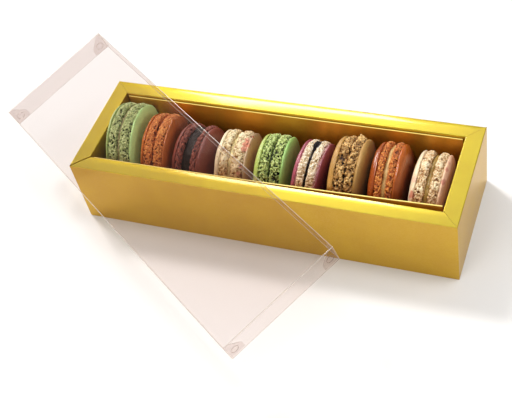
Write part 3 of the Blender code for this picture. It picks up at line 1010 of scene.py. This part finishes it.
def lid_tab(end, side):
    """One glued corner tab inside an end wall, with the round mark of its glue."""
    tall = LID_DEPTH - TAB_SHORT
    deselect()
    bpy.ops.mesh.primitive_plane_add(size=1.0, location=ORIGIN)
    tab = added("tab")
    tab.scale = (TAB_LENGTH, tall, 1.0)
    settle(tab)
    edit_all()
    slant = Vector((LID_DEPTH * 0.55, TAB_LENGTH - TAB_NECK, 0.0))
    bpy.ops.mesh.bisect(plane_co=(-TAB_LENGTH / 2 + TAB_NECK, tall / 2, 0.0), plane_no=slant.normalized(),
                        clear_outer=True)
    pick(tab, "VERT", lambda co: co.x > TAB_LENGTH / 2 - 1e-5)
    bpy.ops.mesh.bevel(offset=1.4 * MM, segments=5, affect="VERTICES")
    edit_all()
    bpy.ops.mesh.extrude_region_move(TRANSFORM_OT_translate={"value": (0.0, 0.0, TAB_FILM)})
    turn_outward()
    deselect()
    bpy.ops.mesh.primitive_torus_add(major_radius=2.0 * MM, minor_radius=0.14 * MM, major_segments=40,
                                     minor_segments=6, location=(-0.6 * MM, -1.6 * MM, 0.26 * MM))
    ring = added("glue_mark")
    bpy.ops.object.transform_apply(location=True)
    tab = joined("tab", [tab, ring])
    # Stand the tab in the end wall, its neck at the long wall
    along = Vector((0.0, -side, 0.0))
    up = Vector((0.0, 0.0, 1.0))
    out = along.cross(up)
    x = end * (BOX_LENGTH / 2 + LID_CLEARANCE - 0.05 * MM)
    if out.x * end > 0:
        x -= end * 0.30 * MM
    y = side * (BOX_DEPTH / 2 + LID_CLEARANCE - TAB_LENGTH / 2)
    turn = Matrix((along, up, out)).transposed().to_4x4()
    settle(tab, Matrix.Translation((x, y, -LID_DEPTH / 2 - 0.1 * MM)) @ turn)
    return tab


def on_fold(face):
    """Whether a face of the flat-laid lid belongs to a fold, a cut edge or a glue mark."""
    n = face.normal
    cut = face.center.z < -LID_DEPTH + 0.02 * MM and abs(n.z) > 0.9
    slanted = max(abs(n.x), abs(n.y), abs(n.z)) < 0.985
    return cut or slanted


class MACARONBOX_OT_lid(bpy.types.Operator):
    """Fold the shallow film lid and lay it across the box"""

    bl_idname = "macaronbox.lid"
    bl_label = "Clear lid"

    def execute(self, context):
        around = 2 * (LID_CLEARANCE + LID_WALL)
        size = (BOX_LENGTH + around, BOX_DEPTH + around, LID_DEPTH)
        shell = block("lid_shell", (0.0, 0.0, -LID_DEPTH / 2), size)
        pick(shell, "FACE", lambda centre, normal: normal.z < -0.9)
        bpy.ops.mesh.delete(type="FACE")
        pick(shell, "EDGE", lambda a, b: max(a.z, b.z) > -NEAR)
        bpy.ops.mesh.bevel(offset=0.35 * MM, segments=3, profile=0.5, affect="EDGES")
        object_mode()
        apply_modifier(shell, "SOLIDIFY", thickness=FILM, offset=-1.0, use_even_offset=True)
        tabs = [lid_tab(end, side) for end in (-1, 1) for side in (-1, 1)]
        lid = joined("lid_film", [shell] + tabs)
        dress(lid, clear_film("clear_film", tuple(settings().film_tint), 0.007, 0.003),
              clear_film("film_edge", (0.90, 0.85, 0.80), 0.14, 0.34))
        for face in lid.data.polygons:
            face.material_index = 1 if on_fold(face) else 0
        turn = Euler([math.radians(angle) for angle in LID_TURN], "XYZ").to_matrix().to_4x4()
        settle(lid, Matrix.Translation(LID_CENTRE) @ turn)
        only(lid)
        bpy.ops.object.shade_smooth_by_angle(angle=math.radians(30))
        assign(lid, ["lid"])
        return {"FINISHED"}


# Stage

SUN = (-2.60, 1.80, 3.60)
BOX_MIDDLE = (0.0, 0.0, 0.02)
RIM_MIDDLE = (0.0, 0.0, 0.03)
WHITE = (1.0, 1.0, 1.0)
SUNNY = (1.0, 0.985, 0.96)
MILD = (1.0, 0.99, 0.97)

# Name, place, aim, size, glow, colour, the kind of ray that does not see the lamp and the group that it is
# kept to. Glow is how bright the lamp's face looks beside a white sheet. The gleams reach only the macarons,
# or only the card and the film. The bounce and the lamp beside the box stand in for a wide white ground.
LAMPS = (
    ("key", SUN, BOX_MIDDLE, (0.88, 0.88), 74.10, SUNNY, "glossy", None),
    ("gleam", SUN, BOX_MIDDLE, (0.88, 0.88), 50.0, SUNNY, "diffuse", "baked"),
    ("top", (0.22, 0.02, 1.02), BOX_MIDDLE, (0.56, 0.44), 13.0, SUNNY, "diffuse", "baked"),
    ("front_sheen", (-0.62, -1.25, 0.62), BOX_MIDDLE, (1.0, 0.9), 3.4, SUNNY, "diffuse", "card"),
    ("bounce", (0.05, -0.72, 0.78), (-0.02, -0.08, 0.0), (0.6, 0.6), 1.8, (1.0, 0.93, 0.82), None, "ground"),
    ("beside", (0.52, 0.10, 0.40), (0.14, -0.01, 0.0), (0.36, 0.36), 3.0, (1.0, 0.97, 0.93), None, "ground"),
    ("canopy", (-0.80, 1.41, 1.63), BOX_MIDDLE, (2.1, 1.76), 0.85, WHITE, "glossy", None),
    ("sheen", (-0.42, 0.88, 1.04), RIM_MIDDLE, (0.86, 0.56), 0.85, WHITE, "diffuse", None),
    ("front", (-0.62, -1.25, 0.62), BOX_MIDDLE, (1.0, 0.9), 3.7, (1.0, 0.95, 0.87), "glossy", None),
    ("side", (1.38, -0.15, 0.38), BOX_MIDDLE, (0.9, 0.5), 3.4, (1.0, 0.98, 0.95), "glossy", None),
    ("overhead", (0.30, 0.10, 1.22), BOX_MIDDLE, (0.30, 0.26), 16.0, MILD, None, None),
    ("glare", (-0.39, 0.97, 0.80), RIM_MIDDLE, (0.36, 0.24), 12.5, MILD, "diffuse", None),
    ("edge", (-0.98, 0.62, 0.30), RIM_MIDDLE, (0.5, 0.24), 20.0, MILD, "diffuse", None),
)


def softbox(name, place, aim, size, glow, colour):
    """A soft light that faces a point."""
    data = bpy.data.lights.new(name, "AREA")
    data.shape = "RECTANGLE"
    data.size, data.size_y = size
    data.energy = glow * math.pi * size[0] * size[1]
    data.color = colour
    lamp = bpy.data.objects.new(name, data)
    bpy.context.scene.collection.objects.link(lamp)
    lamp.location = place
    lamp.rotation_euler = (Vector(aim) - Vector(place)).to_track_quat("-Z", "Y").to_euler()
    return lamp


def pale_floor():
    """The plain floor under the box."""
    deselect()
    bpy.ops.mesh.primitive_plane_add(size=6.0, location=(0.0, 0.0, -0.05 * MM))
    floor = added("stage_floor")
    surface = Surface("stage_floor")
    surface.set(Base_Color=tuple(settings().floor), Roughness=0.9)
    dress(floor, surface.material)
    settle(floor)
    return floor


def white_world():
    """An even, faint white light from all sides."""
    world = bpy.data.worlds.new("stage_world")
    world.use_nodes = True
    sky = world.node_tree.nodes["Background"]
    sky.inputs["Color"].default_value = (*WHITE, 1.0)
    sky.inputs["Strength"].default_value = 0.25
    return world


def fitted_camera():
    """The camera at the place and turn that were fitted to the photograph's frame."""
    data = bpy.data.cameras.new("camera")
    data.sensor_fit = "HORIZONTAL"
    data.sensor_width = CAMERA_SENSOR
    data.lens = CAMERA_LENS
    data.clip_start = 0.01
    data.clip_end = 20.0
    camera = bpy.data.objects.new("camera", data)
    bpy.context.scene.collection.objects.link(camera)
    right, down, ahead = (Vector(v).normalized() for v in (CAMERA_RIGHT, CAMERA_DOWN, CAMERA_FORWARD))
    turn = Matrix((right, -down, -ahead)).transposed().to_4x4()
    camera.matrix_world = Matrix.Translation(CAMERA_PLACE) @ turn
    return camera


class MACARONBOX_OT_stage(bpy.types.Operator):
    """Lay the pale floor and set the soft lights and the camera"""

    bl_idname = "macaronbox.stage"
    bl_label = "Stage"

    def execute(self, context):
        scene = context.scene
        floor = pale_floor()
        scene.world = white_world()
        groups = {name: bpy.data.collections.new(name) for name in ("baked", "card", "ground")}
        groups["ground"].objects.link(floor)
        for thing in list(scene.objects):
            if thing.type == "MESH" and thing is not floor:
                groups["baked" if thing.name.startswith("macaron_") else "card"].objects.link(thing)
        for name, place, aim, size, glow, colour, hidden, group in LAMPS:
            lamp = softbox(name, place, aim, size, glow, colour)
            if hidden:
                setattr(lamp, f"visible_{hidden}", False)
            if group:
                lamp.light_linking.receiver_collection = groups[group]
        scene.camera = fitted_camera()
        scene.view_settings.view_transform = "Standard"
        return {"FINISHED"}


class MACARONBOX_PT_panel(bpy.types.Panel):
    """Everything that dresses the macaron box"""

    bl_idname = "MACARONBOX_PT_panel"
    bl_label = "Macaron Box"
    bl_space_type = "VIEW_3D"
    bl_region_type = "UI"
    bl_category = "Macaron Box"

    def draw(self, context):
        chosen = context.scene.macaron_box
        for key in BOX_SETTINGS:
            self.layout.prop(chosen, key)
        for look in chosen.flavours:
            box = self.layout.box()
            box.label(text=look.name)
            for key in CAKE_COLOURS + CAKE_SIZES:
                box.prop(look, key)
        for operator in OPERATORS:
            self.layout.operator(operator.bl_idname)


OPERATORS = (MACARONBOX_OT_box, MACARONBOX_OT_liner, MACARONBOX_OT_macarons, MACARONBOX_OT_lid,
             MACARONBOX_OT_stage)
CLASSES = (FlavourSettings, MacaronBoxSettings, *OPERATORS, MACARONBOX_PT_panel)


def register():
    for kind in CLASSES:
        bpy.utils.register_class(kind)
    bpy.types.Scene.macaron_box = PointerProperty(name="Macaron box", type=MacaronBoxSettings)


def unregister():
    del bpy.types.Scene.macaron_box
    for kind in reversed(CLASSES):
        bpy.utils.unregister_class(kind)


def main():
    register()
    for cake in CAKES:
        look = settings().flavours.add()
        look.name = cake.flavour
        for key in CAKE_COLOURS + CAKE_SIZES:
            setattr(look, key, getattr(cake, key))
    bpy.ops.macaronbox.box()
    bpy.ops.macaronbox.liner()
    bpy.ops.macaronbox.macarons()
    bpy.ops.macaronbox.lid()
    bpy.ops.macaronbox.stage()


if __name__ == "__main__":
    main()
